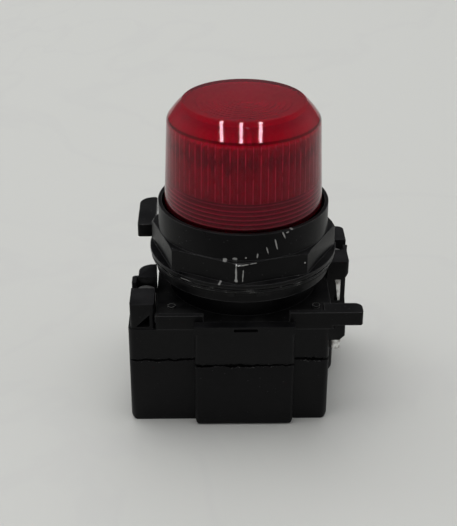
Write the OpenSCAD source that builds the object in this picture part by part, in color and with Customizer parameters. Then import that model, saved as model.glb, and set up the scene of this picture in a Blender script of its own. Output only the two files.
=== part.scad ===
// Panel pilot light with a fluted red lens, an octagonal ring nut and a transformer module.
// Millimetres. Z runs up the lens axis, and Z = 0 is the underside of the module.

/* [Module box] */
// Distance from the lens axis to each side of the box
box_half_w = 19.65; // [19.4:0.05:19.7]
// Distance from the lens axis to the outer side of the left front wing
wing_left = 26.6; // [26.4:0.1:28]
// Distance from the lens axis to the outer side of the right rear wing
wing_right = 22.8; // [22:0.1:24]
// Distance from the lens axis to the near end of each wing
wing_near = 0.6; // [0.4:0.1:1]
// Distance from the lens axis to the front and rear of the side parts
box_half_depth = 20.3; // [20.3:0.1:22]
// Width of the middle block that stands out at the front and rear
middle_w = 22.8; // [16:0.2:24]
// How far the middle block stands out
middle_out = 2.5; // [1:0.1:4]
// Height of the lower housing, from the underside to the seam
lower_h = 16.5; // [16:0.1:20]
// Height of the upper housing, from the seam to the top of the side parts
upper_h = 8.1; // [7.6:0.1:10]
// How much higher the middle block is than the side parts
middle_rise = 2; // [1:0.1:2.6]
// Floor of the lower housing
floor_t = 1.8; // [1.4:0.1:2.2]
// Roof of the upper housing
roof_t = 2; // [1.6:0.1:2.4]
// Radius of the upright corners of the box
corner_r = 1.5; // [0.6:0.1:2.4]
// Radius of the bottom edges of the lower housing
bottom_r = 1.7; // [0.6:0.1:1.8]
// Clearance between the core and the walls of its cavity
cavity_gap = 1.2; // [0.8:0.1:1.6]
// Length of the slot in the front of the middle block
slot_len = 5.4; // [4:0.1:8]
// Height and depth of that slot
slot_w = 0.8; // [0.6:0.1:1.2]
// Half the depth of the lug that the mounting screw holds
lug_half_d = 1.7; // [1.5:0.1:2]
// Distance from the lens axis to the outer side of that lug
lug_out = 23; // [22.6:0.1:24]
// Height of that lug
lug_h = 4.25; // [3.8:0.05:4.6]

/* [Terminal blocks] */
// Distance from the lens axis to the outer side of each block
term_out = 26.1; // [25.9:0.1:26.4]
// Distance from the lens axis to the inner side of each block
term_in = 20.6; // [20.5:0.05:20.8]
// Distance from the lens axis to the wire entry face of each block
term_far = 20; // [19:0.1:20.2]
// Distance from the lens axis to the blind end of each block
term_near = 0.3; // [0.2:0.05:0.5]
// Distance from the lens axis to the outer side of the left inner barrier
left_near_out = 24.7; // [24.4:0.1:25]
// Distance from the lens axis to the outer side of the right inner barrier
right_near_out = 25.75; // [25.4:0.05:26]
// Height of each block above the side parts
term_h = 6.4; // [6:0.1:7.5]
// Distance from the lens axis to the near end of the screw well
well_near = 6.8; // [6.4:0.1:7]
// Distance from the lens axis to the far end of the screw well
well_far = 12.1; // [11.9:0.1:12.6]
// Wall that closes the screw well on its outer side
well_wall = 1; // [0.8:0.1:1.2]
// How much lower that wall is beside the outer barrier
well_dip = 2.2; // [1:0.1:2.6]
// Radius of the rounded end of the left block
term_round_r = 3.4; // [2:0.1:3.6]
// Radius of the rear corner of the right block
term_far_r = 1.8; // [1:0.1:2.4]
// Diameter of the terminal screw head
term_head_d = 4.2; // [3.8:0.1:4.3]
// Height of the terminal screw head
term_head_h = 2.1; // [1.4:0.1:2.4]
// Diameter of the terminal screw shank
term_screw_d = 2.5; // [2:0.1:2.6]
// Thickness of the brass terminal plate
term_plate_t = 0.8; // [0.6:0.05:0.9]
// Width of the leg of the terminal plate at its head
leg_w = 1.25; // [1:0.05:1.4]
// Width of the leg of the terminal plate at its tip
leg_tip_w = 0.5; // [0.4:0.05:0.9]
// Height of the leg of the terminal plate
leg_h = 5.7; // [5:0.1:6.2]
// Thickness of the wire clamp under the screw head
clamp_t = 0.8; // [0.5:0.1:0.9]
// Width of the triangular wire entry
entry_w = 3.2; // [2:0.1:3.4]

/* [Operator] */
// Outside diameter of the threaded barrel
barrel_d = 30; // [29.4:0.1:30.2]
// Wall of the threaded barrel
barrel_wall = 2.4; // [1.8:0.1:2.8]
// Length of the barrel above the flange of the operator
barrel_h = 20.6; // [20:0.1:21.4]
// Radius of the flange of the operator
flange_r = 20.6; // [19:0.1:21.5]
// Thickness of the flange of the operator
flange_t = 2; // [1.4:0.1:2.4]
// Radius of the neck under the flange
neck_r = 17.5; // [16.5:0.1:18]
// Height of the neck under the flange
neck_h = 5.3; // [5:0.1:8]
// Half the width of the base plate
plate_half_w = 20.4; // [20:0.05:20.4]
// Thickness of the base plate
plate_t = 2; // [1.6:0.1:2.4]
// Thickness of the upstanding rims on the base plate
rim_t = 1.3; // [0.8:0.1:1.6]
// Height of the left rim above the base plate
rim_left_h = 1.6; // [1:0.1:2.5]
// Height of the right rim above the base plate
rim_right_h = 2.3; // [2:0.1:2.8]
// Length of the left rim from the side of the plate
rim_left_len = 11; // [8:0.1:12]
// Length of the right rim from the side of the plate
rim_right_len = 10.2; // [8:0.1:12]
// Distance from the lens axis to the tip of the ear
ear_tip = 27; // [25.5:0.1:29]
// Depth of the ear from front to rear
ear_depth = 4.4; // [4.2:0.1:5.2]
// Thickness of the ear
ear_t = 3.35; // [3:0.05:3.5]

/* [Washers and gaskets] */
// Radial clearance between the barrel and each washer or gasket
ring_fit = 0.4; // [0.3:0.05:0.8]
// Outer radius of the rubber panel gasket
gasket_r = 21.2; // [20:0.1:21.6]
// Thickness of the rubber panel gasket
gasket_t = 1; // [0.6:0.1:1.6]
// Outer radius of the tab washer
tab_ring_r = 21.8; // [21.5:0.1:22]
// Thickness of the tab washer
tab_ring_t = 0.6; // [0.5:0.05:1.2]
// Outer radius of the thrust washer
thrust_r = 21.6; // [20:0.1:21.9]
// Thickness of the thrust washer
thrust_t = 0.5; // [0.4:0.05:1]
// Distance from the lens axis to the outer side of the tab
tab_out = 25.4; // [25:0.1:27]
// Distance from the lens axis to the inner side of the tab
tab_in = 21.1; // [19:0.1:22]
// Distance from the lens axis to the front end of the tab
tab_start = 6.7; // [5:0.1:9]
// Distance from the lens axis to the rear end of the tab
tab_end = 22.7; // [20:0.1:25]
// Thickness of the tab
tab_t = 3.3; // [2.5:0.1:4]
// Radius of the rear corner of the tab
tab_r = 3.6; // [2:0.1:4]
// Length of the web that joins the tab to the washer
tab_web_len = 8; // [6:0.1:9]

/* [Ring nut] */
// Radius of the round flange of the ring nut
nut_flange_r = 22; // [21.8:0.1:23]
// Thickness of the round flange of the ring nut
nut_flange_t = 0.9; // [0.6:0.1:1.5]
// Distance across the flats of the octagon
nut_flats = 40.1; // [39:0.1:40.6]
// Height of the octagon
nut_oct_h = 5.2; // [4:0.1:7]
// Outer radius of the collar
collar_r = 19.9; // [19.6:0.05:20]
// Wall of the collar
collar_wall = 0.9; // [0.6:0.05:1]
// Height of the collar above the octagon
collar_h = 6.3; // [5:0.1:7]
// Free height between the floor of the nut and the lens gasket
nut_travel = 2; // [1.9:0.1:2.5]
// Radial running clearance of both threads on the barrel
thread_fit = 0.08; // [0.04:0.01:0.1]

/* [Lens] */
// Height of the lens
lens_h = 27; // [26:0.1:30]
// Outer radius of the lens at its open rim
lens_rim_r = 18.6; // [18.2:0.05:18.7]
// Outer radius of the lens at the shoulder
lens_shoulder_r = 17.55; // [17.4:0.05:18]
// Radius of the flat top of the lens
lens_top_r = 14.1; // [13.2:0.05:15]
// Height of the slope between the shoulder and the flat top
lens_slope_h = 4.1; // [3:0.1:5]
// Radius of the rounded shoulder
lens_round_r = 1.2; // [0.6:0.1:1.6]
// Thickness of the top of the lens
lens_wall = 1.9; // [1.4:0.1:2.2]
// Height of the threaded skirt of the lens
skirt_h = 10.6; // [10:0.1:11.4]
// Number of upright flutes inside the lens
flute_count = 72; // [36:4:80]
// Radius to the inner edges of the flutes
flute_r = 15.4; // [15.25:0.05:15.5]
// Depth of each flute
flute_depth = 0.6; // [0.3:0.05:0.7]
// Number of rings moulded under the flat top
ring_count = 9; // [4:1:10]
// Pitch of the rings under the flat top
ring_pitch = 1.2; // [0.9:0.05:1.25]
// Depth of each ring under the flat top
ring_depth = 0.5; // [0.2:0.05:0.8]
// Thickness of the lens gasket
lens_gasket_t = 1; // [0.6:0.1:1.4]
// Outer radius of the lens gasket
lens_gasket_r = 17.6; // [16.5:0.1:18]

/* [Lamp and socket] */
// Radius of the lamp glass
bulb_r = 5.1; // [4.7:0.05:5.6]
// Height of the lamp glass above the cap
bulb_h = 18; // [14:0.5:20]
// Radius of the lamp cap
cap_r = 4.5; // [4.3:0.05:4.6]
// Height of the lamp cap
cap_h = 10; // [9:0.5:11]
// Height of the bayonet pins above the foot of the cap
pin_up = 3.6; // [3.4:0.1:4.5]
// Radius of the bayonet pins
pin_r = 1; // [0.7:0.05:1.1]
// How far the bayonet pins stand out of the cap
pin_out = 1.1; // [0.95:0.05:1.4]
// Wall of the socket shell
shell_wall = 0.6; // [0.4:0.05:0.7]
// Height of the socket shell
shell_h = 11.5; // [10.5:0.1:12.5]
// Thickness of the foot flange of the socket shell
shell_foot_t = 0.6; // [0.4:0.05:0.7]
// How far the lamp can be pushed in
lamp_push = 1.2; // [0.8:0.1:1.4]
// Angle that the lamp turns between its seat and the open slot
lamp_turn = 50; // [40:1:60]
// Radius of the moulded socket base
socket_r = 11.2; // [9.5:0.1:11.6]
// Height of the moulded socket base
socket_h = 10.4; // [9.8:0.1:12]
// Turns of the contact spring
spring_turns = 6; // [4:1:8]
// Wire diameter of the contact spring
spring_wire = 0.5; // [0.4:0.05:0.6]
// Mean radius of the contact spring
spring_r = 2.2; // [2:0.05:2.4]

/* [Transformer] */
// Width of the laminated core
core_w = 32; // [29:0.5:32.5]
// Depth of the laminated core
core_d = 30; // [27:0.5:33]
// Height of the stack of laminations
stack_h = 11; // [9:0.5:11]
// Width of the outer limbs of the core
limb_w = 5.2; // [4.6:0.1:5.6]
// Height of the winding above and below the bobbin tube
coil_t = 3.2; // [2.4:0.1:3.3]
// Thickness of the bobbin
bobbin_t = 0.8; // [0.6:0.05:0.9]

/* [Hidden] */
$fn = 64;

eps = 0.01;        // overlap of cutting shapes
slip = 0.15;       // clearance between pieces that are put together
run = 0.08;        // radial clearance of a small thread or plunger
body_gap = 0.4;    // clearance between pieces that move past each other

// Heights, from the underside up
side_top = lower_h + upper_h;
middle_top = side_top + middle_rise;
term_top = side_top + term_h;
plate_top = side_top + plate_t;
flange_z = plate_top + neck_h;
gasket_z = flange_z + flange_t;
tab_z = gasket_z + gasket_t;
thrust_z = tab_z + tab_ring_t;
nut_z = thrust_z + thrust_t;
oct_z = nut_z + nut_flange_t;
oct_top = oct_z + nut_oct_h;
nut_floor = oct_top + 0.5;
lens_gasket_z = nut_floor + nut_travel;
lens_z = lens_gasket_z + lens_gasket_t;
lens_top = lens_z + lens_h;
barrel_top = gasket_z + barrel_h;
socket_top = side_top + socket_h;
ear_top = plate_top + rim_right_h;
ear_z = ear_top - ear_t;

// Radii that follow from the barrel
barrel_r = barrel_d / 2;
thread_r = barrel_r + thread_fit;
ring_bore_r = barrel_r + ring_fit;
barrel_bore_r = barrel_r - barrel_wall;

// Places that follow from the box
middle_front = box_half_depth + middle_out;
slot_x = 0.2;
cavity_r = 1;
ledge = 2;

// Tab washer and gasket
tab_small_r = 0.7;
tab_web_in = 1;
nib_out = 0.5;

// Places inside a terminal block
well_out = term_out - well_wall;
well_mid_y = (well_near + well_far) / 2;
screw_x = well_out - term_head_d / 2 - slip;
seat_z = side_top + 0.6;
tunnel_top = seat_z + term_plate_t + slip;
block_r = 0.8;          // small upright corners of the blocks
left_step_y = 6;        // near end of the wall beside the left well
right_step_y = 8;       // where the right block gets wider
entry_wall = 1;
clamp_z = seat_z + term_plate_t + slip;
head_z = clamp_z + clamp_t;
shank_z = side_top - 1.4;
leg_out = screw_x + 1.05;
leg_x = leg_out - leg_w;
left_leg_y = term_near + 2;
right_leg_y = term_near + 0.25;
leg_z = seat_z + term_plate_t - leg_h;
right_slot_y = right_leg_y + term_plate_t + slip;

// Right block: its near end leans in towards a notch under the inner barrier
lean_foot = 25.5;
lean_head = 24.6;
lean_y = 6;
notch_h = 1.65;

// Lug under the ear, with its screw
lug_z = ear_z - lug_h;
lug_chamfer = 1.2;
mount_x = 21;
mount_y = -18;
mount_head_r = 1.3;
mount_head_h = 2.6;
mount_shank_r = 0.7;
mount_top = ear_top - 1;
mount_slot_w = 0.5;

// Rivets of the base plate
rivet_x = 16.8;
rivet_y = 13.4;
rivet_r = 0.9;
rivet_head_h = 0.5;
rivet_depth = 1.4;

// ---------------------------------------------------------------- shared shapes

// A rectangle with round corners, from its low corner
module round_rect(size, r) {
    translate([r, 0]) square([size[0] - 2 * r, size[1]]);
    translate([0, r]) square([size[0], size[1] - 2 * r]);
    for (x = [r, size[0] - r], y = [r, size[1] - r]) translate([x, y]) circle(r);
}

// A flat ring
module ring(outer, inner, h) {
    difference() {
        cylinder(r = outer, h = h);
        translate([0, 0, -eps]) cylinder(r = inner, h = h + 2 * eps);
    }
}

// What lies outside a round corner, with the corner's tip at the origin
module corner_cut(r) {
    difference() {
        translate([-eps, -eps]) square([r, r]);
        translate([r, r]) circle(r);
    }
}

// A rectangle from x, w wide and h high, whose two bottom corners are round
module tub_shape(x, w, h, r) {
    translate([x, r]) square([w, h - r]);
    translate([x + r, 0]) square([w - 2 * r, h]);
    for (cx = [x + r, x + w - r]) translate([cx, r]) circle(r);
}

// A round wire from one point to the next
module wire(points, r) {
    for (i = [0 : len(points) - 2]) {
        step = points[i + 1] - points[i];
        reach = norm(step);
        translate(points[i])
            rotate([0, acos(step[2] / reach), atan2(step[1], step[0])])
                cylinder(r = r, h = reach, $fn = 24);
        // A ball a little fatter than the wire fills each bend
        if (i > 0) translate(points[i]) sphere(r = r + 0.04, $fn = 24);
    }
}

// ---------------------------------------------------------------- module housings

// The four blocks that make up the box: low corner, size and corner radius of each plan
wing_d = box_half_depth - wing_near;
box_blocks = [
    [[-box_half_w, -box_half_depth], [2 * box_half_w, 2 * box_half_depth], corner_r],
    [[-wing_left, -box_half_depth], [wing_left, wing_d], corner_r],
    [[0, wing_near], [wing_right, wing_d], corner_r],
    [[-middle_w / 2, -middle_front], [middle_w, 2 * middle_front], corner_r / 2]
];

// Plan of the cavity that holds the transformer
module cavity_plan() {
    translate([-core_w / 2 - cavity_gap, -core_d / 2 - cavity_gap])
        round_rect([core_w + 2 * cavity_gap, core_d + 2 * cavity_gap], cavity_r);
}

// One block of the lower housing, with round bottom edges on its two sides
module tub_block(b) {
    intersection() {
        translate(b[0]) linear_extrude(lower_h) round_rect(b[1], b[2]);
        translate([0, middle_front, 0]) rotate([90, 0, 0])
            linear_extrude(2 * middle_front) tub_shape(b[0][0], b[1][0], lower_h, bottom_r);
    }
}

module lower_housing() {
    color("#1b1b1e") {
        difference() {
            intersection() {
                union() {
                    for (b = box_blocks) tub_block(b);
                }
                translate([-wing_left, 0, 0]) rotate([90, 0, 90])
                    linear_extrude(wing_left + wing_right)
                        tub_shape(-middle_front, 2 * middle_front, lower_h, corner_r / 2);
            }
            translate([0, 0, floor_t]) linear_extrude(lower_h) cavity_plan();
        }
        core_ledges();
    }
}

// Four ledges in the corners of the cavity, which carry the core
module core_ledges() {
    for (x = [-1, 1], y = [-1, 1])
        translate([x * (core_w - ledge) / 2, y * (core_d - ledge) / 2, (core_z + floor_t) / 2])
            cube([ledge + 2 * cavity_gap, ledge + 2 * cavity_gap, core_z - floor_t], center = true);
}

// Plan of a terminal block, placed as the left one: a far part with the outer barrier
// and the screw well, and a near part with the inner barrier
module block_plan(step_y, far_r, near_out, near_r) {
    translate([-term_out, -term_far]) difference() {
        round_rect([term_out - term_in, term_far - step_y], block_r);
        corner_cut(far_r);
    }
    near_len = step_y + block_r - term_near;
    translate([-near_out, -step_y - block_r]) difference() {
        square([near_out - term_in, near_len]);
        translate([0, near_len]) mirror([0, 1]) corner_cut(near_r);
    }
}

// What both terminal blocks lose: the well, the dip in its wall, the wire entry and the tunnel
module block_waste(leg_y) {
    // Screw well, open at the top and towards the operator
    translate([-well_out, -well_far, seat_z]) cube([well_out, well_far - well_near, term_h]);
    // The outer wall of the well dips beside the outer barrier
    translate([-term_out - eps, -well_far, term_top - well_dip])
        cube([well_wall + 2 * eps, (well_far - well_near) / 2, well_dip + eps]);
    // Triangular wire entry at the foot of the outer barrier
    translate([-term_in - entry_wall, -well_far + eps, seat_z]) rotate([90, 0, 0])
        linear_extrude(term_far - well_far + 2 * eps)
            polygon([[0, 0], [0, entry_w], [-entry_w, 0]]);
    // Tunnel for the tongue of the terminal plate under the inner barrier
    translate([-leg_out - slip, -well_near - eps, seat_z])
        cube([leg_w + 2 * slip, well_near - leg_y + slip + eps, tunnel_top - seat_z]);
    // Blind hole for the end of the screw
    translate([-screw_x, -well_mid_y, shank_z - slip])
        cylinder(d = term_screw_d + 2 * run, h = seat_z - shank_z + slip + eps);
}

// Left front terminal block, with a round foot on its outer side
module left_block() {
    difference() {
        translate([0, 0, side_top - eps]) linear_extrude(term_h + eps)
            block_plan(left_step_y, block_r, left_near_out, term_round_r);
        translate([-term_out, -term_near, side_top]) rotate([90, 0, 0])
            linear_extrude(term_far) corner_cut(1);
    }
}

// Right rear terminal block, which goes down to the seam
module right_block() {
    rotate(180) difference() {
        translate([0, 0, lower_h]) linear_extrude(term_top - lower_h)
            block_plan(right_step_y, term_far_r, right_near_out, block_r);
        // The near end leans in, up to the notch under the inner barrier
        translate([0, eps, 0]) rotate([90, 0, 0]) linear_extrude(lean_y) polygon([
            [-term_out - 1, lower_h - eps], [-lean_foot, lower_h - eps], [-lean_head, tunnel_top],
            [-right_near_out, tunnel_top + notch_h], [-term_out - 1, tunnel_top + notch_h]]);
        // Below the barrier the near end is set back to the wing
        translate([-term_out, -wing_near, lower_h - eps])
            cube([term_out, wing_near, tunnel_top - lower_h + eps]);
    }
}

// Slot that the leg of a terminal plate hangs in, from its far side to y = near
module leg_slot(leg_y, near) {
    translate([-leg_out - slip, -leg_y - term_plate_t - slip, leg_z - slip])
        cube([leg_w + 2 * slip, leg_y + term_plate_t + slip - near, tunnel_top - leg_z + slip]);
}

// Lug beside the box, under the ear of the operator and clear of its base plate
module screw_lug() {
    difference() {
        translate([box_half_w - 1, mount_y - lug_half_d, lug_z])
            cube([lug_out - box_half_w + 1, 2 * lug_half_d, lug_h]);
        translate([box_half_w - 1 - eps, mount_y - lug_half_d - eps, side_top])
            cube([plate_half_w + slip - box_half_w + 1 + eps, 2 * lug_half_d + 2 * eps, lug_h]);
        translate([lug_out, mount_y, lug_z]) rotate([0, 45, 0])
            cube([lug_chamfer * sqrt(2), 3 * lug_half_d, lug_chamfer * sqrt(2)], center = true);
    }
}

module upper_housing() {
    color("#17171a") difference() {
        union() {
            for (b = box_blocks) translate([b[0][0], b[0][1], lower_h])
                linear_extrude(upper_h) round_rect(b[1], b[2]);
            for (s = [-1, 1])
                translate([-middle_w / 2, s > 0 ? box_half_depth : -middle_front, side_top - eps])
                    cube([middle_w, middle_out, middle_rise + eps]);
            left_block();
            right_block();
            screw_lug();
        }
        translate([0, 0, lower_h - eps]) linear_extrude(upper_h - roof_t + eps) cavity_plan();
        // Slot in the front of the middle block
        translate([slot_x - slot_len / 2, -middle_front - eps, middle_top - 1.6 * slot_w])
            cube([slot_len, slot_w + eps, slot_w]);
        block_waste(left_leg_y);
        rotate(180) block_waste(right_leg_y);
        leg_slot(left_leg_y, left_leg_y - slip);
        rotate(180) leg_slot(right_leg_y, -eps);
        // Channels for the leads
        wire(left_lead_path(eps), lead_r + slip);
        wire(right_lead_path(eps), lead_r + slip);
        for (x = lead_xs) translate([x, lead_y, side_top - roof_t - eps])
            cylinder(r = lead_r + slip, h = roof_t + 2 * eps);
        // Holes for the mounting screw and the rivets
        translate([mount_x, mount_y, lug_z - eps]) cylinder(r = mount_shank_r + slip, h = lug_h + 2 * eps);
        rivet_shanks(rivet_r / 2 + run, side_top - rivet_depth);
    }
}

// ---------------------------------------------------------------- operator

// The shanks of the four rivets, from z up to their heads
module rivet_shanks(r, z) {
    for (x = [-rivet_x, rivet_x], y = [-rivet_y, rivet_y])
        translate([x, y, z]) cylinder(r = r, h = plate_top - z + eps);
}

// Front rims of the base plate, which the rear repeats
module rims() {
    translate([-plate_half_w, -box_half_depth, plate_top - eps]) rotate([90, 0, 90])
        linear_extrude(rim_left_len) square([rim_t, rim_left_h + eps]);
    translate([plate_half_w - rim_right_len, -box_half_depth, plate_top - eps])
        cube([rim_right_len, rim_t, rim_right_h + eps]);
}

module ear() {
    translate([plate_half_w - 1, -box_half_depth, ear_z]) {
        linear_extrude(ear_t) difference() {
            round_rect([ear_tip - plate_half_w + 1, ear_depth], 0.8);
            translate([ear_tip - plate_half_w + 1, ear_depth]) rotate(180) corner_cut(1.8);
        }
    }
    translate([plate_half_w - 2.2, -box_half_depth, ear_z])
        cube([2.2, ear_depth, ear_t]);
}

module operator_body() {
    color("#141416") difference() {
        union() {
            translate([0, 0, side_top]) linear_extrude(plate_t)
                translate([-plate_half_w, -box_half_depth])
                    round_rect([2 * plate_half_w, 2 * box_half_depth], 0.6);
            translate([0, 0, plate_top - eps]) cylinder(r = neck_r, h = neck_h + 2 * eps);
            translate([0, 0, flange_z]) cylinder(r = flange_r, h = flange_t);
            cylinder_between(barrel_r, gasket_z - eps, barrel_top);
            rims();
            rotate(180) rims();
            ear();
        }
        cylinder_between(barrel_bore_r, side_top - eps, barrel_top + eps);
        rivet_shanks(rivet_r / 2 + run, side_top - eps);
        cylinder_at([mount_x, mount_y], mount_shank_r + run, side_top - eps, mount_top + slip);
    }
}

module cylinder_between(r, low, high) {
    translate([0, 0, low]) cylinder(r = r, h = high - low);
}

module cylinder_at(place, r, low, high) {
    translate(place) cylinder_between(r, low, high);
}

module panel_gasket() {
    color("#101012") translate([0, 0, gasket_z]) difference() {
        union() {
            cylinder(r = gasket_r, h = gasket_t);
            // Small nibs left on the edge by the mould
            for (nib = [[-98.5, 4], [-79, 8.6], [101, 4], [80, 8.6]]) rotate(nib[0] - nib[1] / 2)
                linear_extrude(gasket_t)
                    polygon([[0, 0], [gasket_r + nib_out, 0],
                             (gasket_r + nib_out) * [cos(nib[1]), sin(nib[1])]]);
        }
        translate([0, 0, -eps]) cylinder(r = ring_bore_r, h = gasket_t + 2 * eps);
    }
}

// Plan of the tab, clear of the turning nut
module tab_plan() {
    difference() {
        translate([-tab_out, tab_start]) difference() {
            round_rect([tab_out - tab_in, tab_end - tab_start], tab_small_r);
            translate([0, tab_end - tab_start]) mirror([0, 1]) corner_cut(tab_r);
        }
        circle(nut_flange_r + body_gap);
    }
}

module tab_washer() {
    color("#19191b") translate([0, 0, tab_z]) {
        linear_extrude(tab_ring_t) difference() {
            union() {
                circle(tab_ring_r);
                // Web that carries the tab
                translate([-tab_out + tab_web_in, tab_start + tab_small_r])
                    square([tab_out - barrel_r, tab_web_len]);
            }
            circle(ring_bore_r);
        }
        linear_extrude(tab_t) tab_plan();
    }
}

module thrust_washer() {
    color("#232326") translate([0, 0, thrust_z]) ring(thrust_r, ring_bore_r, thrust_t);
}

// Octagon with one corner turned towards the front
nut_turned = -4.4;

module ring_nut() {
    color("#121214") difference() {
        union() {
            translate([0, 0, nut_z]) cylinder(r = nut_flange_r, h = nut_flange_t);
            // The octagon's corners are turned off at the top by a cone
            intersection() {
                translate([0, 0, oct_z - eps]) rotate(nut_turned - 90)
                    cylinder(r = nut_flats / 2 / cos(22.5), h = nut_oct_h + eps, $fn = 8);
                translate([0, 0, oct_z - eps])
                    cylinder(r1 = nut_flange_r + nut_oct_h + 0.8, r2 = nut_flange_r - 1, h = nut_oct_h + 2 * eps);
            }
            cylinder_between(collar_r, oct_z, oct_top + collar_h);
        }
        cylinder_between(thread_r, nut_z - eps, nut_floor + eps);
        cylinder_between(collar_r - collar_wall, nut_floor, oct_top + collar_h + eps);
    }
}

// ---------------------------------------------------------------- lens

module lens_gasket() {
    color("#202020") translate([0, 0, lens_gasket_z])
        ring(lens_gasket_r, ring_bore_r, lens_gasket_t);
}

lens_shoulder_z = lens_top - lens_slope_h;
cavity_top = lens_top - lens_wall;
cavity_top_r = lens_top_r - 0.7;
flute_top = lens_shoulder_z - 1.2;

// Half section of the outside of the lens, with a rounded shoulder
module lens_outline() {
    difference() {
        polygon([[0, lens_z], [lens_rim_r, lens_z], [lens_shoulder_r, lens_shoulder_z],
                 [lens_top_r, lens_top], [0, lens_top]]);
        shoulder_waste();
    }
}

// What the rounded shoulder takes off the corner between the wall and the slope
slope_angle = atan2(lens_slope_h, lens_shoulder_r - lens_top_r);
wall_angle = atan2(lens_shoulder_z - lens_z, lens_rim_r - lens_shoulder_r);
shoulder_angle = 180 - wall_angle + slope_angle;
tangent_len = lens_round_r / tan(shoulder_angle / 2);
module shoulder_waste() {
    corner = [lens_shoulder_r, lens_shoulder_z];
    low = corner + tangent_len * [cos(wall_angle), -sin(wall_angle)];
    high = corner + tangent_len * [-cos(slope_angle), sin(slope_angle)];
    middle = low - lens_round_r * [sin(wall_angle), cos(wall_angle)];
    difference() {
        polygon([low, corner + [eps, 0], high, middle]);
        translate(middle) circle(lens_round_r);
    }
}

// Star-shaped section of the fluted cavity
function flute_points() = [
    for (i = [0 : 2 * flute_count - 1])
        let (r = i % 2 == 0 ? flute_r : flute_r + flute_depth, a = 180 * i / flute_count)
            r * [cos(a), sin(a)]
];

module lens() {
    color("#c01028", 0.7) difference() {
        rotate_extrude() lens_outline();
        // Threaded skirt
        cylinder_between(thread_r, lens_z - eps, lens_z + skirt_h + eps);
        // Fluted wall
        translate([0, 0, lens_z + skirt_h]) linear_extrude(flute_top - lens_z - skirt_h)
            polygon(flute_points());
        // Hollow behind the slope, and the rings moulded under the flat top
        rotate_extrude() polygon(concat(
            [[0, flute_top - eps], [flute_r, flute_top - eps], [cavity_top_r, cavity_top]],
            [for (i = [ring_count : -1 : 1]) each [
                [i * ring_pitch, cavity_top], [(i - 1) * ring_pitch + 0.01, cavity_top + ring_depth]]],
            [[0, cavity_top]]));
    }
}

// ---------------------------------------------------------------- lamp and socket

plunger_t = 0.8;
stem_r = 1.2;
stem_gap = 1.5;
plunger_top = socket_top + shell_foot_t + lamp_push + plunger_t + body_gap;
contact_t = 0.8;
cap_z = plunger_top + contact_t;
pin_z = cap_z + pin_up;
bulb_z = cap_z + cap_h;
chamber_r = 3;
chamber_z = side_top + 3.6;

module lamp_bulb() {
    color("#d8d2c4", 0.6) translate([0, 0, bulb_z]) {
        rotate_extrude() intersection() {
            square([bulb_r, bulb_h]);
            union() {
                square([cap_r - 0.5, 2]);
                translate([0, 2 - eps])
                    polygon([[0, 0], [cap_r - 0.5, 0], [bulb_r, 3], [bulb_r, bulb_h - 2 - bulb_r],
                             [0, bulb_h - 2 - bulb_r]]);
                translate([0, bulb_h - bulb_r]) circle(bulb_r);
            }
        }
    }
}

module lamp_cap() {
    color("#b08d3c") {
        cylinder_between(cap_r, cap_z, bulb_z - 1);
        cylinder_between(cap_r - 0.3, bulb_z - 1 - eps, bulb_z);
        translate([0, 0, pin_z]) rotate([0, 90, 0])
            cylinder(r = pin_r, h = 2 * (cap_r + pin_out), center = true, $fn = 32);
    }
}

module lamp_contact() {
    color("#9a9a98") {
        cylinder_between(1.8, plunger_top, plunger_top + contact_t);
    }
}

// A sector of the socket shell from one angle to another
module shell_sector(from, to, low, high) {
    translate([0, 0, low]) rotate(from) rotate_extrude(angle = to - from)
        translate([cap_r - 1, 0]) square([shell_wall + 2, high - low]);
}

// One bayonet slot: a level leg from the seat, then an open leg up to the rim
pin_half_angle = asin((pin_r + slip) / cap_r);
module bayonet_slot() {
    low = pin_z - pin_r - lamp_push - slip;
    open_end = lamp_turn + pin_half_angle;
    shell_sector(-pin_half_angle, open_end, low, pin_z + pin_r + slip);
    shell_sector(lamp_turn - pin_half_angle, open_end, low, socket_top + shell_h + 1);
}

module socket_shell() {
    color("#b9a064") difference() {
        union() {
            cylinder_between(cap_r + slip + shell_wall, socket_top, socket_top + shell_h);
            cylinder_between(cap_r + 3.4, socket_top, socket_top + shell_foot_t);
        }
        cylinder_between(cap_r + slip, socket_top - eps, socket_top + shell_h + eps);
        for (turn = [0, 180]) rotate(turn) bayonet_slot();
    }
}

module socket_base() {
    color("#2a2522") difference() {
        union() {
            cylinder_between(socket_r, side_top, side_top + 3);
            cylinder_between(cap_r + 3.4, side_top, socket_top);
        }
        cylinder_between(chamber_r, chamber_z, socket_top + eps);
        for (x = lead_xs)
            cylinder_at([x, lead_y], lead_r + slip, side_top - eps, side_top + lead_up + slip);
    }
}

// Wire of a coil spring: rings of points along a helix, joined into one skin
module coil_wire(mean_r, wire_r, turns, h) {
    sides = 6;
    steps = 14 * turns;
    rings = [for (i = [0 : steps]) let (a = 360 * turns * i / steps)
        for (k = [0 : sides - 1]) let (b = 360 * k / sides)
            [(mean_r + wire_r * cos(b)) * cos(a), (mean_r + wire_r * cos(b)) * sin(a),
             wire_r + (h - 2 * wire_r) * i / steps + wire_r * sin(b)]];
    skin = [for (i = [0 : steps - 1], k = [0 : sides - 1]) let (n = (k + 1) % sides)
        [i * sides + k, (i + 1) * sides + k, (i + 1) * sides + n, i * sides + n]];
    ends = [[for (k = [0 : sides - 1]) k], [for (k = [sides - 1 : -1 : 0]) steps * sides + k]];
    polyhedron(points = rings, faces = concat(skin, ends));
}

module socket_spring() {
    color("#8d8f92") translate([0, 0, chamber_z])
        coil_wire(spring_r, spring_wire / 2, spring_turns, plunger_top - plunger_t - chamber_z);
}

module socket_plunger() {
    color("#b08d3c") {
        cylinder_between(cap_r - body_gap, plunger_top - plunger_t, plunger_top);
        cylinder_between(stem_r, chamber_z + lamp_push + stem_gap, plunger_top - plunger_t + eps);
    }
}

// ---------------------------------------------------------------- transformer

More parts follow.
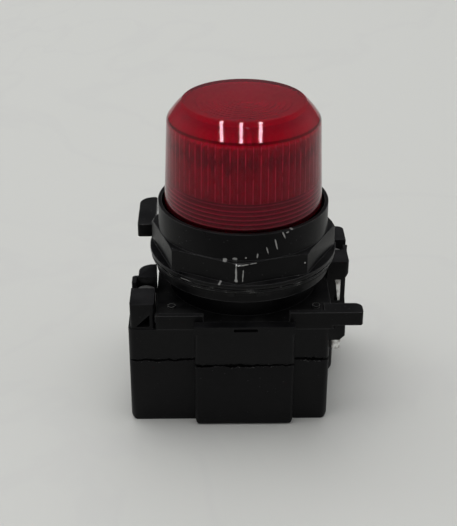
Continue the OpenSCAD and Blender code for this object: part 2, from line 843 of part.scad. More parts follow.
core_z = floor_t + coil_t + bobbin_t + 2 * slip;
core_top = core_z + stack_h;
window_w = core_w / 2 - 2 * limb_w;
window_d = core_d - 2 * limb_w;
tube_w = 2 * limb_w + 2 * slip + 2 * bobbin_t;
tube_h = stack_h + 2 * slip + 2 * bobbin_t;

// Puts a shape on the middle of the core
module on_core() {
    translate([0, 0, core_z + stack_h / 2]) children();
}

module transformer_core() {
    color("#5f6064") on_core() difference() {
        cube([core_w, core_d, stack_h], center = true);
        for (s = [-1, 1]) translate([s * (limb_w + window_w / 2), 0, 0])
            cube([window_w, window_d, stack_h + 1], center = true);
    }
}

// A rectangle of the bobbin or a winding, standing across the middle limb
module limb_block(w, h, y, depth, r) {
    translate([-w / 2, y + depth, -h / 2]) rotate([90, 0, 0]) linear_extrude(depth)
        round_rect([w, h], r);
}

spool_w = tube_w + 2 * (window_w - bobbin_t - 3 * slip);
spool_h = tube_h + 2 * coil_t;
spool_d = window_d - 2 * slip;

module bobbin() {
    color("#d9d4c6") on_core() difference() {
        union() {
            limb_block(tube_w, tube_h, -spool_d / 2, spool_d, 0.5);
            for (y = [-spool_d / 2, -bobbin_t / 2, spool_d / 2 - bobbin_t])
                limb_block(spool_w, spool_h, y, bobbin_t, 0.8);
        }
        cube([2 * limb_w + 2 * slip, window_d, stack_h + 2 * slip], center = true);
    }
}

primary_fill = 0.9;     // how full each half of the bobbin is
secondary_fill = 0.75;
function winding_w(fill) = tube_w + fill * (spool_w - tube_w);
function winding_h(fill) = tube_h + fill * (spool_h - tube_h);

// Leads: the two of the primary run in channels of the upper housing
lead_r = 0.4;
lead_y = 5;
lead_xs = [-3, 3];
lead_up = 2;
lead_z = max(core_top, lower_h) + 1.5;
lead_side_y = -well_near + 2;
tongue_x = leg_out - leg_w / 2;
riser_x = core_w / 2 - 1;
feed_x = leg_out - leg_tip_w / 2 - 0.1;
feed_y = right_leg_y + term_plate_t;
feed_z = side_top - roof_t - lead_r - 2 * slip;
feed_run_y = feed_y + 2.5;
primary_side = winding_w(primary_fill) / 2;
function left_lead_path(over) = [
    [-primary_side, lead_side_y, lead_z], [-tongue_x, lead_side_y, lead_z],
    [-tongue_x, lead_side_y, seat_z + over]
];
function right_lead_path(over) = [
    [primary_side, lead_side_y, lead_z], [riser_x, lead_side_y, lead_z],
    [riser_x, feed_run_y, feed_z], [feed_x, feed_run_y, feed_z], [feed_x, feed_y - over, feed_z]
];

// One winding between two flanges of the bobbin, from y
module winding(y, fill) {
    difference() {
        limb_block(winding_w(fill), winding_h(fill), y, (spool_d - 3 * bobbin_t) / 2, 1.4);
        limb_block(tube_w, tube_h, y - 1, spool_d, 0.5);
    }
}

module primary_winding() {
    color("#8a3f1e") on_core() winding(-spool_d / 2 + bobbin_t, primary_fill);
}

module secondary_winding() {
    color("#a5562c") on_core() winding(bobbin_t / 2, secondary_fill);
}

module primary_leads() {
    color("#b3262a") {
        wire(left_lead_path(0), lead_r);
        wire(right_lead_path(0), lead_r);
    }
}

module secondary_leads() {
    low = core_z + (stack_h + winding_h(secondary_fill)) / 2;
    color("#c9b23a") for (x = lead_xs) cylinder_at([x, lead_y], lead_r, low, side_top + lead_up);
}

// ---------------------------------------------------------------- terminals and fixings

// Terminal plate, placed as the left one: seat in the well, tongue, and a leg that tapers
module terminal_plate(leg_y) {
    difference() {
        union() {
            translate([-well_out + slip, -well_far + slip, seat_z])
                cube([well_out - term_in - slip, well_far - well_near - 2 * slip, term_plate_t]);
            translate([-leg_out, -well_near - 2 * slip, seat_z])
                cube([leg_w, well_near - leg_y + 2 * slip, term_plate_t]);
            translate([-leg_out, -leg_y, leg_z]) rotate([90, 0, 0]) linear_extrude(term_plate_t)
                polygon([[0, 0], [leg_tip_w, 0], [leg_w, leg_h], [0, leg_h]]);
        }
        translate([-screw_x, -well_mid_y, seat_z - eps])
            cylinder(d = term_screw_d + 2 * run, h = term_plate_t + 2 * eps);
    }
}

// Square wire clamp under the screw head, with turned-up ends
module clamp() {
    difference() {
        translate([-well_out + slip, -well_far + 2 * slip, clamp_z])
            cube([well_out - term_in - slip, well_far - well_near - 4 * slip, clamp_t]);
        translate([-screw_x, -well_mid_y, clamp_z - eps])
            cylinder(d = term_screw_d + 2 * slip, h = clamp_t + 2 * eps);
    }
}

module terminal_screw() {
    translate([-screw_x, -well_mid_y, 0]) difference() {
        union() {
            cylinder_between(term_screw_d / 2, shank_z, head_z + eps);
            cylinder_between(term_head_d / 2, head_z, head_z + term_head_h);
        }
        translate([-term_head_d, -0.35, head_z + term_head_h - 0.9]) cube([2 * term_head_d, 0.7, 1]);
    }
}

module left_terminal_plate() { color("#b59a52") terminal_plate(left_leg_y); }
module right_terminal_plate() { color("#b59a52") rotate(180) terminal_plate(right_leg_y); }
module left_clamp() { color("#a9abad") clamp(); }
module right_clamp() { color("#a9abad") rotate(180) clamp(); }
module left_terminal_screw() { color("#b4b6b8") terminal_screw(); }
module right_terminal_screw() { color("#b4b6b8") rotate(180) terminal_screw(); }

module mounting_screw() {
    color("#b4b6b8") translate([mount_x, mount_y, 0]) difference() {
        union() {
            cylinder_between(mount_head_r, lug_z - mount_head_h, lug_z);
            cylinder_between(mount_shank_r, lug_z - eps, mount_top);
        }
        translate([-mount_head_r - eps, -mount_slot_w / 2, lug_z - mount_head_h - eps])
            cube([2 * mount_head_r + 2 * eps, mount_slot_w, mount_slot_w + eps]);
    }
}

module plate_rivets() {
    color("#a9abad") {
        rivet_shanks(rivet_r / 2, side_top - rivet_depth);
        for (x = [-rivet_x, rivet_x], y = [-rivet_y, rivet_y]) translate([x, y, plate_top])
            cylinder(r = rivet_r, h = rivet_head_h);
    }
}

lower_housing();
upper_housing();
operator_body();
panel_gasket();
tab_washer();
thrust_washer();
ring_nut();
lens_gasket();
lens();
lamp_bulb();
lamp_cap();
lamp_contact();
socket_shell();
socket_base();
socket_spring();
socket_plunger();
transformer_core();
bobbin();
primary_winding();
secondary_winding();
primary_leads();
secondary_leads();
left_terminal_plate();
right_terminal_plate();
left_clamp();
right_clamp();
left_terminal_screw();
right_terminal_screw();
mounting_screw();
plate_rivets();
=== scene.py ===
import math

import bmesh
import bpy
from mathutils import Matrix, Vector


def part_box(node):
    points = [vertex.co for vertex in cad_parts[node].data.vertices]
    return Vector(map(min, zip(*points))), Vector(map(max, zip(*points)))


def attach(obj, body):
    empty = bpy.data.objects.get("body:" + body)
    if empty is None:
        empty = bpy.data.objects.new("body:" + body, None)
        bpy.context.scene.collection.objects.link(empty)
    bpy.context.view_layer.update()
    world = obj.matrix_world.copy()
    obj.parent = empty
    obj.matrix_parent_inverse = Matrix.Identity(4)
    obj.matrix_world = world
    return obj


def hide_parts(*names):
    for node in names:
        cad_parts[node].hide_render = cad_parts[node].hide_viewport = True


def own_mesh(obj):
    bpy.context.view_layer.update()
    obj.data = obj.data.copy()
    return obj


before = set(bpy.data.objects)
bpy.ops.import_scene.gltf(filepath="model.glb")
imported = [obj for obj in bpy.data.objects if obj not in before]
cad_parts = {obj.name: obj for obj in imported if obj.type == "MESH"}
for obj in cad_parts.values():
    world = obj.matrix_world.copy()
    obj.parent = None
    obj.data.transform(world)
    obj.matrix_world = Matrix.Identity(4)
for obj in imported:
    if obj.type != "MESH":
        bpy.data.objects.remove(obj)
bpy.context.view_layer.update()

# %% [markdown]
# A panel pilot light: a red fluted lens on a threaded barrel, a black octagonal ring nut, and a
# moulded module with screw terminals under it. The construction comes packed as solids. This
# lesson gives them soft edges and worn finishes, and gives the lens its optics. Everything is in
# metres, with the lens axis on X = Y = 0 and the table at Z = 0. Heights such as the seam's could
# be typed in, but they are read from the solids, so that each finish stays where it belongs.

MM = 0.001


def low(node):
    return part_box(node)[0]


def high(node):
    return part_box(node)[1]


seam_z = high("lower_housing")[2]
nut_top = high("ring_nut")[2]
nut_flange_r = high("ring_nut")[0]
THREAD_PITCH = 1.06 * MM

# %% [markdown]
# The camera stands in front, a little to the left and well above the part, with a long lens, so
# that the upright sides lean together only a little. A target point and a distance would also do.
# Here the place and the angles are set, because they are what was measured.

# %% Camera
CAMERA_PLACE = Vector((-7.334, -250.486, 163.460)) * MM
LOOK_DOWN, LOOK_RIGHT, ROLL = math.radians(27.86), math.radians(0.90), math.radians(0.13)
FOCAL_LENGTH, SENSOR_WIDTH = 80.6, 36
NEAREST, FARTHEST = 0.01, 20


def make_camera():
    data = bpy.data.cameras.new("camera")
    data.lens, data.sensor_width = FOCAL_LENGTH, SENSOR_WIDTH
    data.clip_start, data.clip_end = NEAREST, FARTHEST
    camera = bpy.data.objects.new("camera", data)
    bpy.context.scene.collection.objects.link(camera)
    turn = Matrix.Rotation(-LOOK_RIGHT, 4, "Z") @ Matrix.Rotation(math.pi / 2 - LOOK_DOWN, 4, "X")
    camera.matrix_world = Matrix.Translation(CAMERA_PLACE) @ turn @ Matrix.Rotation(ROLL, 4, "Z")
    bpy.context.scene.camera = camera


make_camera()
print("camera at", [round(v / MM) for v in CAMERA_PLACE], "mm")

# %% [markdown]
# Every finish below is a small tree of shader nodes. Trees can be wired by hand, one link at a
# time, but that hides what a finish is made of. These helpers keep the trees short: a socket is
# filled with a plain value or with another socket, by the same call.

# %% Helpers that place nodes
def fill(tree, socket, value):
    """Links a socket to another one, or gives it a plain value."""
    if isinstance(value, bpy.types.NodeSocket):
        tree.links.new(value, socket)
    else:
        socket.default_value = value


def add(tree, kind, inputs=None, **settings):
    """Adds a shader node, sets its properties, and fills its inputs."""
    node = tree.nodes.new(kind)
    for name, value in settings.items():
        setattr(node, name, value)
    for name, value in (inputs or {}).items():
        fill(tree, node.inputs[name], value)
    return node


def feed(tree, node, **inputs):
    """Fills the named inputs of a node, with _ for each space in a name."""
    for name, value in inputs.items():
        fill(tree, node.inputs[name.replace("_", " ")], value)


def object_place(tree):
    """The place on the piece, which stays with it when it moves."""
    return add(tree, "ShaderNodeTexCoord").outputs["Object"]


def split(tree, vector):
    """The X, Y and Z of a vector."""
    return tuple(add(tree, "ShaderNodeSeparateXYZ", {"Vector": vector}).outputs)


def noise(tree, place, scale, detail, roughness=0.5, distortion=0.0):
    """A cloudy value around 0.5. The scale counts its waves in a metre."""
    return add(tree, "ShaderNodeTexNoise", {
        "Vector": place, "Scale": scale, "Detail": detail, "Roughness": roughness,
        "Distortion": distortion}).outputs["Fac"]


print("helpers that place nodes are ready")

# %% [markdown]
# A finish is mostly sums and products: a mask is a product of masks, and a roughness is a base
# value plus a share of each mask. A Color Ramp could make the masks too. A smooth step between
# two limits is enough here, and its limits read as sizes.

# %% Helpers for masks
def maths(tree, operation, a, b=0.0):
    """One Math node, which gives its result."""
    return add(tree, "ShaderNodeMath", {0: a, 1: b}, operation=operation).outputs[0]


def minus(tree, a, b):
    return maths(tree, "SUBTRACT", a, b)


def away(tree, value, level):
    """How far a value lies from a level, on either side."""
    return maths(tree, "ABSOLUTE", minus(tree, value, level))


def times(tree, first, *others):
    """Values or masks multiplied together."""
    for other in others:
        first = maths(tree, "MULTIPLY", first, other)
    return first


def uneven(tree, base, *parts):
    """A base value plus a share of each mask."""
    for mask, share in parts:
        base = maths(tree, "ADD", base, times(tree, mask, share))
    return base


def between(tree, value, start, end):
    """Turns a value into a mask that goes from 0 at start to 1 at end."""
    return add(tree, "ShaderNodeMapRange", {"Value": value, "From Min": start, "From Max": end},
               interpolation_type="SMOOTHSTEP").outputs["Result"]


print("helpers for masks are ready")

# %% [markdown]
# A colour is one coat laid over another, as a painter would do it, and a bump stands on the bump
# below it. One long chain of nodes could be written out each time. Lists of layers read better,
# and their order is the order of the coats.

# %% Helpers for coats and bumps
def blend(tree, factor, first, second):
    """Mixes two colours by a mask. A colour is a socket or three plain numbers."""
    first, second = (c if isinstance(c, bpy.types.NodeSocket) else (*c, 1) for c in (first, second))
    return add(tree, "ShaderNodeMix", {0: factor, 6: first, 7: second}, data_type="RGBA").outputs[2]


def coats(tree, colour, *layers):
    """Lays coats over a colour. Each is a mask and the colour that it brings."""
    for mask, paint in layers:
        colour = blend(tree, mask, colour, paint)
    return colour


def bumps(tree, *layers):
    """Bump nodes on top of each other. Each has a height, a distance and a strength."""
    normal = None
    for height, distance, strength in layers:
        node = add(tree, "ShaderNodeBump",
                   {"Height": height, "Distance": distance, "Strength": strength})
        if normal:
            tree.links.new(normal, node.inputs["Normal"])
        normal = node.outputs["Normal"]
    return normal


print("helpers for coats and bumps are ready")

# %% [markdown]
# Dust, wear with a painted highlight along each edge, and grain are on many of the finishes. They
# could be copied into each one, but a node group is built once and placed in each material with its
# own numbers. A new group gets its named sockets first, and then the two nodes that stand for them
# inside it.

# %% Helpers for shared groups
def group(name, inputs, outputs):
    """An empty node group with float sockets, and its two end nodes."""
    tree = bpy.data.node_groups.new(name, "ShaderNodeTree")
    for title, value in inputs.items():
        socket = tree.interface.new_socket(title, in_out="INPUT", socket_type="NodeSocketFloat")
        socket.default_value = value
    for title in outputs:
        tree.interface.new_socket(title, in_out="OUTPUT", socket_type="NodeSocketFloat")
    return tree, tree.nodes.new("NodeGroupInput"), tree.nodes.new("NodeGroupOutput")


def use(tree, shared, **inputs):
    """Places a shared group in a material and gives its outputs."""
    node = add(tree, "ShaderNodeGroup", node_tree=shared)
    feed(tree, node, **inputs)
    return node.outputs


print("helpers for shared groups are ready")

# %% [markdown]
# Dust gathers on what faces up, and clings in specks. A mask from the normal's upward part,
# broken by a noise and by small cells, gives both: a thin veil and loose crumbs. A painted
# texture would suit one view only, and this one holds from all sides.

# %% Dust
def dust_group():
    tree, start, end = group("dust", {"Amount": 0.5, "Speck Size": 900.0}, ("Veil", "Specks"))
    place = object_place(tree)
    upward = split(tree, add(tree, "ShaderNodeNewGeometry").outputs["Normal"])[2]
    cloud = noise(tree, place, 120.0, 4.0)
    veil = times(tree, between(tree, upward, 0.2, 0.95), between(tree, cloud, 0.3, 0.75))
    cells = add(tree, "ShaderNodeTexVoronoi",
                {"Vector": place, "Scale": start.outputs["Speck Size"]}).outputs
    dots = between(tree, cells["Distance"], 0.16, 0.08)
    chance = add(tree, "ShaderNodeSeparateColor", {"Color": cells["Color"]}).outputs[0]
    kept = between(tree, chance, 0.80, 0.86)
    specks = times(tree, dots, kept, between(tree, upward, -0.3, 0.5))
    feed(tree, end, Veil=times(tree, veil, start.outputs["Amount"]),
         Specks=times(tree, specks, start.outputs["Amount"]))
    return tree


DUST = dust_group()
print("dust:", len(DUST.nodes), "nodes")

# %% [markdown]
# Handling rubs the corners of a part. The Bevel node gives a normal that is rounded near an edge.
# Where it differs from the true normal there is an edge, and a noise breaks that mask into rubs.
# The whole edge mask is also used by the finishes as a painted highlight along every edge.
# The edges could also be picked on the mesh, but then each piece would need its own painting.

# %% Edge highlight and wear
def edge_highlight_and_wear_group():
    tree, start, end = group("edge highlight and wear", {"Width": 0.3 * MM, "Cover": 0.5}, ("Edge", "Rubbed"))
    rounded = add(tree, "ShaderNodeBevel", {"Radius": start.outputs["Width"]}, samples=4).outputs[0]
    true = add(tree, "ShaderNodeNewGeometry").outputs["Normal"]
    alike = add(tree, "ShaderNodeVectorMath", {0: rounded, 1: true},
                operation="DOT_PRODUCT").outputs["Value"]
    edge = between(tree, alike, 0.985, 0.86)
    patches = noise(tree, object_place(tree), 420.0, 5.0, 0.7)
    spared = minus(tree, 0.95, times(tree, start.outputs["Cover"], 0.6))
    rubbed = times(tree, edge, between(tree, minus(tree, patches, spared), -0.08, 0.04))
    feed(tree, end, Edge=edge, Rubbed=rubbed)
    return tree


EDGE_HIGHLIGHT_AND_WEAR = edge_highlight_and_wear_group()
print("edge highlight and wear:", len(EDGE_HIGHLIGHT_AND_WEAR.nodes), "nodes")

# %% [markdown]
# Mouldings and castings are never quite flat or even. One shared group gives a fine grain, a
# broad mottle and a few long hairline scratches, and each material decides how strongly it shows.
# The scratches are a noise that is stretched along one slanted line.

# %% Surface grain
SCRATCH_TURN, SCRATCH_STRETCH = (0.5, 0.9, 0.35), (1.0, 0.05, 1.0)


def grain_group():
    tree, start, end = group("surface grain", {"Grain Scale": 2500.0, "Mottle Scale": 150.0},
                             ("Grain", "Mottle", "Scratches"))
    place = object_place(tree)
    mottle = noise(tree, place, start.outputs["Mottle Scale"], 4.0)
    stretched = add(tree, "ShaderNodeMapping", {
        "Vector": place, "Rotation": SCRATCH_TURN, "Scale": SCRATCH_STRETCH}).outputs[0]
    lines = noise(tree, stretched, 900.0, 2.0)
    feed(tree, end, Grain=noise(tree, place, start.outputs["Grain Scale"], 3.0), Mottle=mottle,
         Scratches=times(tree, between(tree, lines, 0.70, 0.74), between(tree, mottle, 0.5, 0.62)))
    return tree


GRAIN = grain_group()
print("surface grain:", len(GRAIN.nodes), "nodes")

# %% [markdown]
# All the materials start in the same way, from a fresh one with its Principled shader. A Glossy
# and a Diffuse shader could be mixed instead, but this one holds every finish of the part. What
# changes over a surface is linked to it, and what is even is set on its own socket.

# %% Material starter
def start_material(name):
    """A material with its Principled shader, and the tree to build on."""
    made = bpy.data.materials.new(name)
    made.use_nodes = True
    tree = made.node_tree
    return made, tree, tree.nodes["Principled BSDF"]


def tell(*materials):
    for made in materials:
        print(made.name + ":", len(made.node_tree.nodes), "nodes")


print("material starter ready")

# %% [markdown]
# The two housing halves are black phenolic mouldings, cemented together. The cement squeezed out
# of the seam and dried as a ragged dark line with pale crumbs, mostly below it. The line is painted
# near-black, so that it stands both for the cement and for painted shade in the gap of the seam. A
# strip of mesh could stand for it, but it has no height to speak of. The line is drawn by the
# height above the table, bent by a noise, so it follows the seam round every corner. It is made
# metallic with a near-black colour, because metal mirrors in its own colour and the line then has
# no shine.
# Every edge is also painted a little lighter, as a painted highlight.

# %% Black moulding
RESIN_DARK, RESIN_LIGHT = (0.0019, 0.0019, 0.0023), (0.0040, 0.0039, 0.0045)
RESIN_EDGE_HIGHLIGHT, RESIN_DUST = (0.009, 0.009, 0.010), (0.020, 0.020, 0.021)
RESIN_SPECK = (0.10, 0.10, 0.095)
CEMENT_AND_GAP_SHADE, CRUMB_GREY = (0.0008, 0.0008, 0.0009), (0.10, 0.10, 0.10)
SEAM_WAVE = 2.2 * MM
SEAM_LINE_FADE = (0.40 * MM, 0.22 * MM)
CRUMBS_INSIDE, CRUMBS_OUTSIDE = (0.36 * MM, 0.46 * MM), (0.66 * MM, 0.52 * MM)


def moulding_material():
    made, tree, shader = start_material("black moulding")
    place = object_place(tree)
    above_seam = minus(tree, split(tree, place)[2], seam_z)
    grain = use(tree, GRAIN, Grain_Scale=2600.0, Mottle_Scale=170.0)
    dust = use(tree, DUST, Amount=0.55, Speck_Size=1100.0)
    edge_light_and_wear = use(tree, EDGE_HIGHLIGHT_AND_WEAR, Width=0.35 * MM, Cover=0.35)
    wave = times(tree, minus(tree, noise(tree, place, 330.0, 5.0, 0.62), 0.46), SEAM_WAVE)
    off_seam = away(tree, above_seam, wave)
    # The seam line: real cement, painted near-black to stand also for the shade in the gap.
    cement_and_gap_shade = between(tree, off_seam, *SEAM_LINE_FADE)
    below = between(tree, above_seam, 0.3 * MM, -0.3 * MM)
    flecks = between(tree, noise(tree, place, 1500.0, 3.0), 0.56, 0.66)
    crumbs = times(tree, between(tree, off_seam, *CRUMBS_OUTSIDE),
                   between(tree, off_seam, *CRUMBS_INSIDE),
                   uneven(tree, 0.15, (below, 0.85)), flecks)
    resin = blend(tree, grain["Mottle"], RESIN_DARK, RESIN_LIGHT)
    # The edge layer paints a highlight along every edge.
    colour = coats(tree, resin, (edge_light_and_wear["Edge"], RESIN_EDGE_HIGHLIGHT), (cement_and_gap_shade, CEMENT_AND_GAP_SHADE),
                   (crumbs, CRUMB_GREY), (dust["Veil"], RESIN_DUST), (dust["Specks"], RESIN_SPECK))
    normal = bumps(tree, (grain["Grain"], 0.04 * MM, 0.6), (grain["Mottle"], 0.3 * MM, 0.35),
                   (minus(tree, crumbs, cement_and_gap_shade), 0.6 * MM, 1.0))
    feed(tree, shader, Base_Color=colour, Metallic=cement_and_gap_shade, Specular_IOR_Level=0.13, Normal=normal,
         Roughness=uneven(tree, 0.30, (grain["Mottle"], 0.22), (cement_and_gap_shade, 0.15)))
    return made


MOULDING = moulding_material()
tell(MOULDING)

# %% [markdown]
# Knocks go through the coat of the nut to bare grey metal. They could be painted on an unwrapped
# mesh. Here each one is a small leaning ellipse on the nut's skin, given by its angle round the
# axis and its height, and a noise makes its edge ragged.

# %% Knock marks
KNOCK_R = nut_flange_r * 0.93
KNOCK_RAGGED = 3.2


def knock_group():
    tree, start, end = group("knock", {
        "Angle": 0.0, "Height": 0.0, "Half Width": 1 * MM, "Half Height": 1 * MM, "Lean": 0.0,
    }, ("Mask",))
    place = object_place(tree)
    x, y, z = split(tree, place)
    around = maths(tree, "ARCTAN2", x, times(tree, y, -1.0))
    across = times(tree, minus(tree, around, start.outputs["Angle"]), KNOCK_R)
    up = minus(tree, z, start.outputs["Height"])
    leaned = minus(tree, across, times(tree, up, start.outputs["Lean"]))
    u = maths(tree, "POWER", maths(tree, "DIVIDE", leaned, start.outputs["Half Width"]), 2.0)
    v = maths(tree, "POWER", maths(tree, "DIVIDE", up, start.outputs["Half Height"]), 2.0)
    ragged = minus(tree, noise(tree, place, 1500.0, 4.0, 0.7), 0.5)
    reach = uneven(tree, maths(tree, "ADD", u, v), (ragged, KNOCK_RAGGED))
    feed(tree, end, Mask=between(tree, reach, 1.15, 0.75))
    return tree


KNOCK = knock_group()
print("knock:", len(KNOCK.nodes), "nodes")

# %% [markdown]
# The list of knocks reads like a maker's notes: the angle in degrees round from the front,
# positive to the right, the height in millimetres, the half width, the half height and the lean.
# Random places would be quicker, but wear is not random: these lie where a wrench bit and slipped
# along the edges, so each has its own entry.

# %% Knocks on the nut
NUT_KNOCKS = [
    (-13.0, 42.2, 0.50, 0.26, 0.0), (-6.6, 42.5, 0.50, 0.28, 0.0), (-1.3, 41.65, 1.25, 0.15, 0.0),
    (4.8, 41.7, 0.90, 0.11, 0.3), (0.4, 42.8, 0.22, 0.22, 0.0), (7.8, 43.2, 0.16, 0.50, 0.1),
    (-5.5, 39.7, 0.20, 2.20, 0.0), (-5.5, 37.9, 0.36, 0.42, 0.0), (-1.4, 39.0, 0.13, 1.50, 0.05),
    (14.3, 44.3, 0.14, 0.95, -0.28), (20.1, 45.6, 0.18, 1.30, -0.26),
    (25.4, 47.5, 0.18, 0.90, -0.46), (28.0, 47.9, 0.40, 0.15, 0.5),
    (31.5, 48.4, 0.28, 0.18, 0.0), (39.1, 39.8, 0.18, 0.20, 0.0),
    (-15.4, 36.9, 0.24, 0.20, 0.0), (-37.5, 36.1, 1.50, 0.12, 0.0),
]
print(len(NUT_KNOCKS), "knocks on the nut")

# %% [markdown]
# The operator, the nut and the washers are cast or pressed metal with a black coat that shines a
# little and is rubbed at the edges, and every edge is also painted lighter as a painted highlight.
# Paint over metal could be two shaders mixed. One shader whose metallic value rises where the coat
# is gone does the same. The fine thread of the barrel is a bump, as it hardly shows under the nut.

# %% Black coating
COAT_DARK, COAT_LIGHT = (0.0016, 0.0016, 0.0019), (0.0032, 0.0031, 0.0035)
COAT_SCRATCH, COAT_DUST = (0.014, 0.014, 0.0145), (0.018, 0.018, 0.018)
COAT_SPECK = (0.16, 0.16, 0.155)
COAT_EDGE_HIGHLIGHT, BARE_METAL = (0.085, 0.085, 0.087), (0.36, 0.36, 0.35)


def thread_wave(tree, z):
    """A wave from -1 to 1 that repeats with the pitch of the thread."""
    return maths(tree, "SINE", times(tree, z, math.tau / THREAD_PITCH))


def coating_material(name, gloss, cover=0.35, knocks=(), thread_from=None):
    made, tree, shader = start_material(name)
    grain = use(tree, GRAIN, Grain_Scale=2200.0, Mottle_Scale=240.0)
    dust = use(tree, DUST, Amount=0.6, Speck_Size=1300.0)
    edge_light_and_wear = use(tree, EDGE_HIGHLIGHT_AND_WEAR, Width=0.3 * MM, Cover=cover)
    bare = edge_light_and_wear["Rubbed"]
    for angle, height, half_width, half_height, lean in knocks:
        knock = use(tree, KNOCK, Angle=math.radians(angle), Height=height * MM,
                    Half_Width=half_width * MM, Half_Height=half_height * MM, Lean=lean)
        bare = maths(tree, "MAXIMUM", bare, knock["Mask"])
    # The edge layer paints a highlight along every edge; the bare layer is real wear.
    colour = coats(tree, blend(tree, grain["Mottle"], COAT_DARK, COAT_LIGHT),
                   (grain["Scratches"], COAT_SCRATCH), (dust["Veil"], COAT_DUST),
                   (dust["Specks"], COAT_SPECK), (times(tree, edge_light_and_wear["Edge"], 0.7), COAT_EDGE_HIGHLIGHT),
                   (bare, BARE_METAL))
    skin = [(grain["Grain"], 0.03 * MM, 0.5), (grain["Mottle"], 0.2 * MM, 0.3)]
    if thread_from is not None:
        z = split(tree, object_place(tree))[2]
        above = between(tree, z, thread_from, thread_from + 0.1 * MM)
        skin.append((times(tree, thread_wave(tree, z), above), 0.35 * MM, 1.0))
    feed(tree, shader, Base_Color=colour, Metallic=times(tree, bare, 0.4), Specular_IOR_Level=0.12,
         Roughness=uneven(tree, gloss, (grain["Mottle"], 0.18), (dust["Veil"], 0.25)),
         Normal=bumps(tree, *skin))
    return made


OPERATOR_COAT = coating_material("black operator coating", 0.36,
                                 thread_from=high("panel_gasket")[2])
NUT_COAT = coating_material("black nut coating", 0.22, cover=0.45, knocks=NUT_KNOCKS)
WASHER_COAT = coating_material("black washer coating", 0.30, cover=0.6)
RIVET_COAT = coating_material("worn rivet heads", 0.26, cover=1.2)
tell(OPERATOR_COAT, NUT_COAT, WASHER_COAT, RIVET_COAT)

# %% [markdown]
# Rubber is dull and takes dust. The rings under the nut are thin, so only their edges show, and
# a rough black with pale specks does for them. A softer look could come from sheen, which would
# not be seen on so thin an edge.

# %% Rubber
RUBBER_DARK, RUBBER_LIGHT = (0.004, 0.004, 0.004), (0.009, 0.009, 0.009)
RUBBER_SPECK = (0.14, 0.14, 0.135)


def rubber_material():
    made, tree, shader = start_material("black rubber")
    grain = use(tree, GRAIN, Grain_Scale=3000.0, Mottle_Scale=300.0)
    dust = use(tree, DUST, Amount=0.5, Speck_Size=1200.0)
    colour = coats(tree, blend(tree, grain["Mottle"], RUBBER_DARK, RUBBER_LIGHT),
                   (dust["Specks"], RUBBER_SPECK))
    feed(tree, shader, Base_Color=colour, Specular_IOR_Level=0.15,
         Roughness=uneven(tree, 0.62, (grain["Mottle"], 0.2)),
         Normal=bumps(tree, (grain["Grain"], 0.05 * MM, 0.7)))
    return made


RUBBER = rubber_material()
tell(RUBBER)

# %% [markdown]
# Bright screws and brass are the same kind of tree with other colours: a metal base, a tarnish
# that follows the mottle, and fine scratches painted brighter than the metal, as a painted glint.
# Two functions would repeat each other, so one takes the bright and the dull colour.

# %% Bare metals
def metal_material(name, bright, dull, roughness):
    made, tree, shader = start_material(name)
    grain = use(tree, GRAIN, Grain_Scale=3000.0, Mottle_Scale=600.0)
    tarnish = between(tree, grain["Mottle"], 0.42, 0.68)
    # The scratches are real marks, painted brighter as a painted glint.
    painted_glint = [min(1, 1.3 * c) for c in bright]
    colour = coats(tree, blend(tree, tarnish, bright, dull), (grain["Scratches"], painted_glint))
    feed(tree, shader, Base_Color=colour, Metallic=minus(tree, 1.0, times(tree, tarnish, 0.3)),
         Roughness=uneven(tree, roughness, (tarnish, 0.25)),
         Normal=bumps(tree, (grain["Grain"], 0.03 * MM, 0.4)))
    return made


STEEL = metal_material("bright zinc plate", (0.72, 0.72, 0.71), (0.35, 0.34, 0.32), 0.28)
BRASS = metal_material("dull brass", (0.66, 0.50, 0.24), (0.28, 0.19, 0.09), 0.34)
tell(STEEL, BRASS)

# %% [markdown]
# The lens is measured down its half section: a flat top, a long bevel, a rounded shoulder, and a
# wall that leans out to the rim. Inside there is a threaded skirt, and above it a band of sixty
# upright flutes. The numbers could stand beside the mesh. They stand here, because the finish is
# laid by height and by angle, and has to meet the same flutes and threads.

# %% Measures of the lens
lens_low, lens_top = low("lens")[2], high("lens")[2]
lens_rim_r = high("lens")[0]
PLATEAU_R = 14.1 * MM
SHOULDER_R, SHOULDER_Z = 17.55 * MM, lens_top - 4.1 * MM
BEVEL_CROWN = 0.12 * MM
LENS_WALL = 1.9 * MM
BORE_R, ROOT_R = 15.08 * MM, 15.45 * MM
SKIRT_TOP = lens_low + 8.3 * MM
FLUTES, FLUTE_R, FLUTE_DEPTH = 60, 15.4 * MM, 0.6 * MM
FLUTE_TOP = SHOULDER_Z - 1.2 * MM
print("lens", round((lens_top - lens_low) / MM, 1), "mm high,", FLUTES, "flutes over",
      round((FLUTE_TOP - SKIRT_TOP) / MM, 1), "mm")

# %% [markdown]
# The lens is clear red plastic. Most of its Principled shader is transmission, and the red comes
# from the base colour, which tints the light each time it crosses the skin. A volume inside would
# tint by thickness, but costs far more to render. The index of refraction is lower than acrylic's
# 1.49 and the reflection is tinted red, so that the plain studio does not turn the lens milky. The
# top is dusty and finely scratched, a dark line of painted shade marks where the wall turns at the
# shoulder, and painted shade darkens the lens where it meets the top of the nut.

# %% Red acrylic
RED_DEEP, RED_CLEAR = (0.37, 0.0036, 0.036), (0.45, 0.0052, 0.047)
TOP_VEIL, TOP_SPECK = (0.40, 0.035, 0.050), (0.75, 0.45, 0.45)
SHOULDER_SHADE_LINE, JOINT_SHADE = (0.07, 0.0015, 0.007), (0.010, 0.003, 0.004)
REFLECTION_TINT = (1.0, 0.50, 0.58, 1)
ACRYLIC_IOR = 1.40


